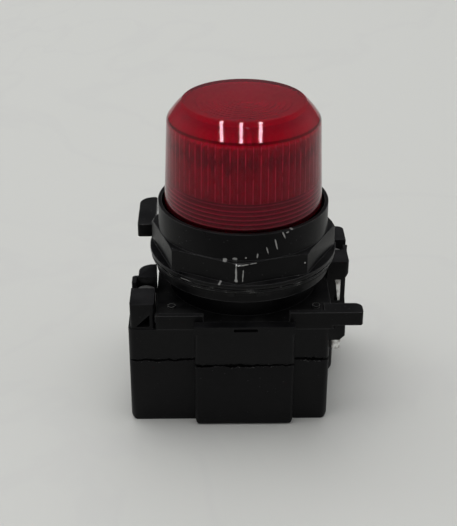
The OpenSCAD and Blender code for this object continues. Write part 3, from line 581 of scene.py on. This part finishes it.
def lens_material():
    made, tree, shader = start_material("red acrylic")
    z = split(tree, object_place(tree))[2]
    grain = use(tree, GRAIN, Grain_Scale=2600.0, Mottle_Scale=260.0)
    dust = use(tree, DUST, Amount=0.18, Speck_Size=1700.0)
    top = between(tree, z, lens_top - 0.25 * MM, lens_top - 0.05 * MM)
    # A painted dark line of shade where the wall turns at the shoulder.
    shoulder = between(tree, away(tree, z, SHOULDER_Z + 0.15 * MM), 0.42 * MM, 0.16 * MM)
    # Painted shade on the lens where it meets the nut.
    joint = between(tree, z, nut_top + 1.6 * MM, nut_top - 0.4 * MM)
    colour = coats(tree, blend(tree, grain["Mottle"], RED_DEEP, RED_CLEAR),
                   (times(tree, top, 0.25), TOP_VEIL),
                   (times(tree, dust["Specks"], top), TOP_SPECK),
                   (shoulder, SHOULDER_SHADE_LINE), (joint, JOINT_SHADE))
    feed(tree, shader, Base_Color=colour, IOR=ACRYLIC_IOR, Specular_Tint=REFLECTION_TINT,
         Transmission_Weight=0.90,
         Roughness=uneven(tree, 0.035, (grain["Mottle"], 0.05), (top, 0.12)),
         Normal=bumps(tree, (grain["Scratches"], 0.02 * MM, 0.5)))
    return made


RED_LENS = lens_material()
tell(RED_LENS)

# %% [markdown]
# Seen through the wall, the ridges between the flutes and the crests of the thread are pale, and
# the grooves are deep red with a darker band at half height. These are light and shade, so both
# are painted: pale highlights on the ridges and crests, and a band of painted shade. Clear walls
# alone would show this weakly, because the ridges bend only a little light. So two masks mark the
# ridges and the band, by the angle round the axis and by the height.

# %% Ridge highlights and shade inside the lens
SHADE_Z = SHOULDER_Z - 5.0 * MM
SHADE_FADE, SHADE_TEETH = (2.4 * MM, 0.4 * MM), 9.0 * MM
STREAK_STRETCH = (1.0, 1.0, 0.12)


def ridge_highlight_mask(tree, place, mottle):
    """Painted highlights on the upright ridges between the flutes, broken here and there."""
    x, y, z = split(tree, place)
    around = maths(tree, "ARCTAN2", y, x)
    arc = maths(tree, "ABSOLUTE", maths(tree, "SINE", times(tree, around, FLUTES / 2)))
    return times(tree, between(tree, arc, 0.36, 0.12), between(tree, mottle, 0.32, 0.55),
                 between(tree, z, FLUTE_TOP + 0.4 * MM, FLUTE_TOP - 0.4 * MM))


def shade_mask(tree, place, z):
    """A dark band at half height with streaked upper and lower edges."""
    upright = add(tree, "ShaderNodeMapping",
                  {"Vector": place, "Scale": STREAK_STRETCH}).outputs[0]
    streaks = minus(tree, noise(tree, upright, 700.0, 2.0), 0.5)
    reach = uneven(tree, away(tree, z, SHADE_Z), (streaks, SHADE_TEETH))
    return times(tree, between(tree, reach, *SHADE_FADE), 0.75)


print("dark band at", round(SHADE_Z / MM, 1), "mm above the table")

# %% [markdown]
# The inner face has a finish of its own, which is less clear than the outer one. A lens could be
# made with one finish for both, but then its ridges would be painted on the outside too, and would
# not lie behind the wall as they should.

# %% Inner face of the lens
GROOVE_DEEP, GROOVE_CLEAR = (0.42, 0.0060, 0.056), (0.58, 0.0110, 0.085)
SHADE_RED, CONE_LIT_RED, RIDGE_HIGHLIGHT_PINK = (0.20, 0.006, 0.026), (0.70, 0.007, 0.080), (1.0, 0.36, 0.42)
SKIRT_DEEP, CREST_HIGHLIGHT_PINK = (0.16, 0.010, 0.020), (0.62, 0.18, 0.22)


def inner_lens_material():
    made, tree, shader = start_material("red acrylic, inner face")
    place = object_place(tree)
    z = split(tree, place)[2]
    mottle = use(tree, GRAIN, Grain_Scale=2600.0, Mottle_Scale=420.0)["Mottle"]
    # Painted highlights on the crests of the thread.
    crest = times(tree, between(tree, thread_wave(tree, z), 0.70, 0.95), 0.7)
    fluted = between(tree, z, SKIRT_TOP - 0.05 * MM, SKIRT_TOP + 0.05 * MM)
    # The inner cone round the shoulder is painted a brighter red, as painted light.
    cone = times(tree, between(tree, z, FLUTE_TOP - 0.6 * MM, FLUTE_TOP + 0.2 * MM),
                 between(tree, z, lens_top - 2.2 * MM, lens_top - 4.2 * MM))
    band = coats(tree, blend(tree, mottle, GROOVE_DEEP, GROOVE_CLEAR),
                 (shade_mask(tree, place, z), SHADE_RED), (cone, CONE_LIT_RED),
                 (ridge_highlight_mask(tree, place, mottle), RIDGE_HIGHLIGHT_PINK))
    skirt = blend(tree, crest, SKIRT_DEEP, CREST_HIGHLIGHT_PINK)
    feed(tree, shader, Base_Color=blend(tree, fluted, skirt, band), IOR=ACRYLIC_IOR,
         Transmission_Weight=0.35, Roughness=uneven(tree, 0.08, (mottle, 0.10)))
    return made


RED_INNER = inner_lens_material()
tell(RED_INNER)

# %% [markdown]
# The bulb's glass is nearly clear with a faint haze. Plastics, wire covers and the painted shade in
# the lens joint are two close colours that take turns with the mottle. One colour would do for
# pieces so small, but a little change keeps them from looking like paint.

# %% Glass and plastics
def glass_material():
    made, tree, shader = start_material("lamp glass")
    mottle = use(tree, GRAIN, Grain_Scale=2000.0, Mottle_Scale=300.0)["Mottle"]
    feed(tree, shader, Base_Color=blend(tree, mottle, (0.95, 0.95, 0.93), (0.88, 0.88, 0.86)),
         Roughness=uneven(tree, 0.02, (mottle, 0.06)), IOR=1.5, Transmission_Weight=0.9)
    return made


def plastic_material(name, first, second, roughness=0.5):
    made, tree, shader = start_material(name)
    grain = use(tree, GRAIN, Grain_Scale=2600.0, Mottle_Scale=250.0)
    feed(tree, shader, Base_Color=blend(tree, grain["Mottle"], first, second),
         Roughness=uneven(tree, roughness, (grain["Mottle"], 0.15)),
         Normal=bumps(tree, (grain["Grain"], 0.04 * MM, 0.5)))
    return made


LAMP_GLASS = glass_material()
# A near-black colour that paints the shade at the foot of the lens inside the nut.
RIM_SHADE = plastic_material("painted shade in the lens joint", (0.006, 0.003, 0.003),
                             (0.014, 0.006, 0.006), roughness=0.6)
PHENOLIC = plastic_material("brown phenolic", (0.030, 0.022, 0.017), (0.055, 0.040, 0.030))
NYLON = plastic_material("natural nylon", (0.62, 0.58, 0.47), (0.74, 0.71, 0.61))
RED_WIRE = plastic_material("red wire cover", (0.40, 0.02, 0.02), (0.52, 0.03, 0.03))
YELLOW_WIRE = plastic_material("yellow wire cover", (0.50, 0.38, 0.04), (0.62, 0.50, 0.06))
tell(LAMP_GLASS, RIM_SHADE, PHENOLIC, NYLON, RED_WIRE, YELLOW_WIRE)

# %% [markdown]
# The windings are hundreds of turns of thin wire, and the core is a stack of thin sheets. Real
# turns would be far too many faces for pieces that are shut inside the housing. A wave along one
# axis gives the ridges, and the same wave paints shade into the lines between them.

# %% Windings and laminations
def layered_material(name, crest, hollow_shade_and_tone, axis, pitch, metallic):
    made, tree, shader = start_material(name)
    along = split(tree, object_place(tree))[axis]
    mottle = use(tree, GRAIN, Grain_Scale=2200.0, Mottle_Scale=300.0)["Mottle"]
    ridges = maths(tree, "ABSOLUTE", maths(tree, "SINE", times(tree, along, math.pi / pitch)))
    # The hollow colour is painted shade between the turns, and also a random darker tone by the
    # mottle.
    colour = coats(tree, blend(tree, ridges, hollow_shade_and_tone, crest), (times(tree, mottle, 0.4), hollow_shade_and_tone))
    feed(tree, shader, Base_Color=colour, Roughness=uneven(tree, 0.35, (mottle, 0.2)),
         Metallic=metallic, Normal=bumps(tree, (ridges, 0.2 * MM, 1.0)))
    return made


Y_AXIS, Z_AXIS = 1, 2
COPPER = layered_material("enamelled copper turns", (0.50, 0.20, 0.07), (0.20, 0.07, 0.02),
                          Y_AXIS, 0.35 * MM, 0.7)
CORE_STEEL = layered_material("varnished laminations", (0.20, 0.20, 0.205), (0.06, 0.06, 0.065),
                              Z_AXIS, 0.5 * MM, 0.6)
tell(COPPER, CORE_STEEL)

# %% [markdown]
# No moulded or cast edge is a knife edge: each catches a thin line of light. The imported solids
# have sharp edges. A Bevel modifier could round them, but their triangles would leave stray
# lines. So each one that shows is copied, welded into a closed mesh, freed of the lines inside
# its flat faces, and its edges are bevelled. The copy stands for the solid.

# %% Pieces made from a mesh
SHARP = math.radians(24)
WELD, FLAT = 0.002 * MM, math.radians(0.8)


def welded_copy(node):
    """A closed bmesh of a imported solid, with its flat faces joined up again."""
    bm = bmesh.new()
    bm.from_mesh(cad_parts[node].data)
    bmesh.ops.remove_doubles(bm, verts=bm.verts, dist=WELD)
    bmesh.ops.dissolve_limit(bm, angle_limit=FLAT, verts=bm.verts, edges=bm.edges)
    return bm


def place_piece(name, bm, node, body, material, smooth=SHARP):
    """Turns a bmesh into a piece that rides with its body, shaded smooth up to a sharp edge."""
    mesh = bpy.data.meshes.new(name)
    bm.to_mesh(mesh)
    bm.free()
    piece = bpy.data.objects.new(name, mesh)
    bpy.context.scene.collection.objects.link(piece)
    mesh.materials.append(material)
    mesh.shade_smooth()
    mesh.set_sharp_from_angle(angle=smooth)
    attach(piece, body)
    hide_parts(node)
    return piece


print("edges are softened where faces meet at over", round(math.degrees(SHARP)), "degrees")

# %% [markdown]
# The widths follow the way each piece is made: moulded corners are the softest, cast ones come
# next, and a pressed washer has only its burr rubbed off. One width for all would be simpler, but
# it would eat up the thin rim of the washer.

# %% Softened copies of the solids
def soften(node, body, material, width):
    bm = welded_copy(node)
    edges = [e for e in bm.edges if len(e.link_faces) == 2 and e.calc_face_angle(0) > SHARP]
    bmesh.ops.bevel(bm, geom=edges, offset=width * MM, offset_type="OFFSET", segments=2,
                    profile=0.5, affect="EDGES", clamp_overlap=True, material=-1,
                    miter_outer="ARC", loop_slide=True)
    piece = place_piece(node + "_softened", bm, node, body, material)
    print(node, "softened:", len(edges), "edges,", len(piece.data.polygons), "faces")


soften("lower_housing", "base", MOULDING, 0.30)
soften("upper_housing", "base", MOULDING, 0.25)
soften("operator_body", "base", OPERATOR_COAT, 0.25)
soften("tab_washer", "base", WASHER_COAT, 0.20)
soften("thrust_washer", "nut_ring", WASHER_COAT, 0.12)
soften("ring_nut", "nut", NUT_COAT, 0.22)

# %% [markdown]
# The outside of the lens is a turned shape, so half of its section is enough: points from the
# middle of the top down to the rim. A polygon with sharp corners would give hard lines. The edge
# of the top is part of a circle, the bevel is slightly crowned so that streaks of light bend on
# it, and the shoulder is a soft curve.

# %% Outer half section of the lens
TOP_INSET, TOP_ROUND = 0.35 * MM, 0.55 * MM
TOP_FIRST, TOP_STEP = 10, 13
BEVEL_STEPS, SHOULDER_STEPS = 6, 8
SHOULDER_ROUND = 0.75 * MM
RIM_ROUND, RIM_BAND = 0.15 * MM, 1.2 * MM


def outer_section():
    """The outside from the middle of the top down to the rim, with a rounded shoulder."""
    edge_r = PLATEAU_R - TOP_INSET
    points = [(0.0, lens_top), (edge_r, lens_top)]
    for step in range(4):
        t = math.radians(TOP_FIRST + TOP_STEP * step)
        points.append((edge_r + TOP_ROUND * math.sin(t), lens_top - TOP_ROUND * (1 - math.cos(t))))
    slope = Vector((SHOULDER_R - PLATEAU_R, SHOULDER_Z - lens_top)).normalized()
    wall = Vector((lens_rim_r - SHOULDER_R, lens_low - SHOULDER_Z)).normalized()
    outward = Vector((-slope.y, slope.x))
    start, corner = Vector(points[-1]), Vector((SHOULDER_R, SHOULDER_Z))
    first, last = corner - slope * SHOULDER_ROUND, corner + wall * SHOULDER_ROUND
    for step in range(1, BEVEL_STEPS):
        t = step / BEVEL_STEPS
        points.append(tuple(start.lerp(first, t) + outward * 4 * t * (1 - t) * BEVEL_CROWN))
    for step in range(SHOULDER_STEPS + 1):
        t = step / SHOULDER_STEPS
        points.append(tuple(first * (1 - t) ** 2 + corner * 2 * t * (1 - t) + last * t ** 2))
    return points + [(lens_rim_r - RIM_ROUND, lens_low + RIM_BAND),
                     (lens_rim_r, lens_low + RIM_ROUND), (lens_rim_r - RIM_ROUND, lens_low)]


print("outer half section:", len(outer_section()), "points")

# %% [markdown]
# The inside is turned too: a lead-in, the turns of the thread, the band that takes the flutes, a
# cone up to the flat ceiling, and saw-toothed rings that spread the lamp's light forwards. A real
# thread climbs, and a helix could be made. With so fine a pitch level ridges look the same, and
# they keep the section in one plane.

# %% Inner half section of the lens
THREAD_FORM = [(BORE_R, 0.12), (ROOT_R, 0.42), (ROOT_R, 0.58), (BORE_R, 0.88)]
LEAD_IN = 0.4 * MM
THREAD_MARGIN_LOW, THREAD_MARGIN_HIGH = 0.6 * MM, 0.5 * MM
CEILING_Z, CEILING_R = lens_top - LENS_WALL, 13.4 * MM
RINGS, RING_PITCH, RING_DEPTH, RING_STEP = 9, 1.2 * MM, 0.5 * MM, 0.06 * MM


def inner_section():
    """The inside from the rim up to the middle of the ceiling."""
    points = [(BORE_R + LEAD_IN, lens_low), (BORE_R, lens_low + LEAD_IN)]
    z = lens_low + THREAD_MARGIN_LOW
    while z + THREAD_PITCH < SKIRT_TOP - THREAD_MARGIN_HIGH:
        points += [(r, z + part * THREAD_PITCH) for r, part in THREAD_FORM]
        z += THREAD_PITCH
    points += [(BORE_R, SKIRT_TOP), (FLUTE_R, SKIRT_TOP + 0.02 * MM),
               (FLUTE_R, SKIRT_TOP + 0.8 * MM), (FLUTE_R, FLUTE_TOP - 0.4 * MM),
               (FLUTE_R, FLUTE_TOP), (CEILING_R, CEILING_Z)]
    for ring in range(RINGS, 0, -1):
        ring_r = ring * RING_PITCH
        points += [(ring_r, CEILING_Z), (ring_r - RING_STEP, CEILING_Z + RING_DEPTH)]
    return points + [(0.0, CEILING_Z)]


print("inner half section:", len(inner_section()), "points")

# %% [markdown]
# The flutes spread the lamp's light sideways. They could be cut one by one, but after the spin
# the band is a fine grid, and it is enough to push its vertices out: each groove is an arc, with
# a sharp ridge on either side.

# %% Spinning and fluting
FLUTE_STEPS = 6


def spin_section(bm, points, steps):
    """Spins a half section about the lens axis into a closed shell."""
    verts = [bm.verts.new((r, 0.0, z)) for r, z in points]
    edges = [bm.edges.new(pair) for pair in zip(verts, verts[1:])]
    bmesh.ops.spin(bm, geom=verts + edges, cent=(0, 0, 0), axis=(0, 0, 1), angle=math.tau,
                   steps=steps, use_merge=True, use_duplicate=False)
    bmesh.ops.remove_doubles(bm, verts=bm.verts, dist=0.001 * MM)


def push_flutes(bm):
    """Makes each upright groove of the band an arc, as deep as a flute in its middle."""
    for vert in bm.verts:
        radius = math.hypot(vert.co.x, vert.co.y)
        in_band = SKIRT_TOP + 0.5 * MM < vert.co.z < FLUTE_TOP - 0.2 * MM
        if in_band and abs(radius - FLUTE_R) < 0.01 * MM:
            arc = abs(math.sin(math.atan2(vert.co.y, vert.co.x) * FLUTES / 2))
            vert.co.xy *= (FLUTE_R + FLUTE_DEPTH * arc) / FLUTE_R


print("each flute is", FLUTE_STEPS, "faces wide")

# %% [markdown]
# The faces get their finish by where they look: the outside is clear red, the inside has its own
# finish, and the foot of the skirt is painted dark as painted shade. Picking faces by hand would be
# lost at the next change of the section, and a rule is not.

# %% The fluted lens
LENS_SMOOTH = math.radians(28)
OUTER_SLOT, INNER_SLOT, JOINT_SHADE_SLOT = 0, 1, 2
JOINT_SHADE_HEIGHT = 1.0 * MM


def face_slot(face):
    middle = face.calc_center_median()
    inward = face.normal.x * middle.x + face.normal.y * middle.y < 0 or face.normal.z < -0.3
    if middle.z < lens_low + JOINT_SHADE_HEIGHT:
        return JOINT_SHADE_SLOT
    return INNER_SLOT if inward else OUTER_SLOT


def make_lens():
    bm = bmesh.new()
    spin_section(bm, outer_section() + inner_section(), FLUTES * FLUTE_STEPS)
    push_flutes(bm)
    bmesh.ops.recalc_face_normals(bm, faces=bm.faces)
    for face in bm.faces:
        face.material_index = face_slot(face)
    lens = place_piece("fluted_lens", bm, "lens", "lens", RED_LENS, smooth=LENS_SMOOTH)
    lens.data.materials.append(RED_INNER)
    lens.data.materials.append(RIM_SHADE)
    print("fluted lens:", len(lens.data.polygons), "faces")


make_lens()

# %% [markdown]
# The other solids have the right shape as they are, so they only get their finish. They could be
# copied and softened too, but they are small or hidden, and nobody would see it.

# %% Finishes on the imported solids
FINISHES = {
    "panel_gasket": RUBBER, "lens_gasket": RUBBER,
    "lamp_bulb": LAMP_GLASS, "lamp_cap": BRASS, "lamp_contact": STEEL,
    "socket_shell": BRASS, "socket_base": PHENOLIC, "socket_spring": STEEL, "socket_plunger": BRASS,
    "transformer_core": CORE_STEEL, "bobbin": NYLON,
    "primary_winding": COPPER, "secondary_winding": COPPER,
    "primary_leads": RED_WIRE, "secondary_leads": YELLOW_WIRE,
    "left_terminal_plate": STEEL, "right_terminal_plate": STEEL,
    "left_clamp": STEEL, "right_clamp": STEEL,
    "left_terminal_screw": STEEL, "right_terminal_screw": STEEL,
    "mounting_screw": STEEL, "plate_rivets": RIVET_COAT,
}
for node, material in FINISHES.items():
    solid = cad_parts[node]
    solid.data.materials.clear()
    solid.data.materials.append(material)
print(len(FINISHES), "solids finished")

# %% [markdown]
# The lamp rests on a plunger with a coil spring under it. When the lamp is pressed the spring
# gets shorter: its lower end stays, and each turn comes closer to the next. A copy of the packed
# spring is made with a mesh of its own, and it rides with the base.

# %% The lamp socket spring
spring = place_piece("socket_spring_coil", welded_copy("socket_spring"), "socket_spring", "base",
                     STEEL)
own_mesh(spring)

# %% [markdown]
# The part stands on a pale table with a faint grey veining. The table is one wide square, and the
# veins are where a noise crosses its middle value. A backdrop that curves up would hide the far
# edge, but the camera looks down and never sees it.

# %% Table
TABLE_REACH = 3.0
TABLE_COLOUR, VEIN_COLOUR = (0.60, 0.605, 0.58), (0.56, 0.56, 0.55)


def make_table():
    bm = bmesh.new()
    bmesh.ops.create_grid(bm, x_segments=1, y_segments=1, size=TABLE_REACH)
    mesh = bpy.data.meshes.new("table")
    bm.to_mesh(mesh)
    bm.free()
    table = bpy.data.objects.new("table", mesh)
    bpy.context.scene.collection.objects.link(table)
    made, tree, shader = start_material("pale stone table")
    cloud = noise(tree, object_place(tree), 7.0, 5.0, distortion=1.6)
    veins = times(tree, between(tree, away(tree, cloud, 0.5), 0.03, 0.0), 0.25)
    feed(tree, shader, Base_Color=blend(tree, veins, TABLE_COLOUR, VEIN_COLOUR), Roughness=0.55)
    mesh.materials.append(made)
    print("table", 2 * TABLE_REACH, "m wide")


make_table()

# %% [markdown]
# The world is a dim room: dark walls in front and behind, lighter ones at both sides, and a grey
# ceiling. An even world would be simpler, but the lens mirrors what stands round it, and the two
# light sides give its wall a soft edge.

# %% Room
WALL, SIDE_WALL, CEILING = (0.15, 0.15, 0.155), (0.62, 0.62, 0.63), (0.30, 0.30, 0.30)


def make_room():
    world = bpy.data.worlds.new("dim room")
    bpy.context.scene.world = world
    world.use_nodes = True
    tree = world.node_tree
    x, _, z = split(tree, add(tree, "ShaderNodeTexCoord").outputs["Generated"])
    beside = between(tree, maths(tree, "ABSOLUTE", x), 0.55, 0.95)
    colour = coats(tree, blend(tree, beside, WALL, SIDE_WALL),
                   (between(tree, z, 0.55, 0.90), CEILING))
    feed(tree, tree.nodes["Background"], Color=colour, Strength=1.0)
    print("room:", len(tree.nodes), "nodes")


make_room()

# %% [markdown]
# A broad lamp overhead gives the soft shadow. A sun lamp would give a hard one. It is kept out of
# reflections, because it would wash out the flat top of the lens.

# %% Overhead lamp
OVERHEAD_PLACE, OVERHEAD_SIZE, OVERHEAD_WATTS = (-0.15, 0.45, 1.5), 1.9, 26.5


def make_lamp(name, place, target, size, watts):
    data = bpy.data.lights.new(name, "AREA")
    data.energy = watts
    data.size = size
    lamp = bpy.data.objects.new(name, data)
    bpy.context.scene.collection.objects.link(lamp)
    lamp.location = place
    lamp.rotation_euler = (Vector(target) - Vector(place)).to_track_quat("-Z", "Y").to_euler()
    return lamp


overhead = make_lamp("overhead", OVERHEAD_PLACE, (0, 0, 0), OVERHEAD_SIZE, OVERHEAD_WATTS)
overhead.visible_glossy = False
print("overhead lamp", OVERHEAD_SIZE, "m wide,", OVERHEAD_WATTS, "W")

# %% [markdown]
# Three thin tubes high in front give the upright streaks on the bevel of the lens. They light
# only what mirrors them. A bar painted on the lens would stay put when the view turns, and a real
# reflection wanders as it should.

# %% Tubes
TUBE_AWAY, TUBE_WIDTH, TUBE_WATTS = 0.8, 0.055, 2.6
TUBES = {
    "left_tube": ((-38, 43), (-72, 64)),
    "middle_tube": ((-6, 46), (-13, 75)),
    "right_tube": ((27, 45), (58, 69)),
}


def tube_end(target, azimuth, elevation):
    """A point that lies in a given direction from the lens."""
    turn, rise = math.radians(azimuth), math.radians(elevation)
    level = math.cos(rise)
    way = Vector((math.sin(turn) * level, -math.cos(turn) * level, math.sin(rise)))
    return target + TUBE_AWAY * way


def make_tube(name, low_way, high_way):
    """A thin bright tube between two directions, each an azimuth and an elevation."""
    target = Vector((0, 0, lens_top - 2 * MM))
    foot, head = tube_end(target, *low_way), tube_end(target, *high_way)
    along, middle = head - foot, (foot + head) / 2
    tube = make_lamp(name, middle, target, TUBE_WIDTH, TUBE_WATTS)
    tube.data.shape, tube.data.size_y = "RECTANGLE", along.length
    back = (middle - target).normalized()
    back = (back - back.project(along)).normalized()
    axis = along.normalized()
    tube.rotation_euler = Matrix((axis.cross(back), axis, back)).transposed().to_euler()
    tube.visible_diffuse = False


for name, ways in TUBES.items():
    make_tube(name, *ways)
bpy.context.scene.view_settings.view_transform = "Standard"
print(len(TUBES), "tubes,", len(bpy.data.lights), "lamps in all")
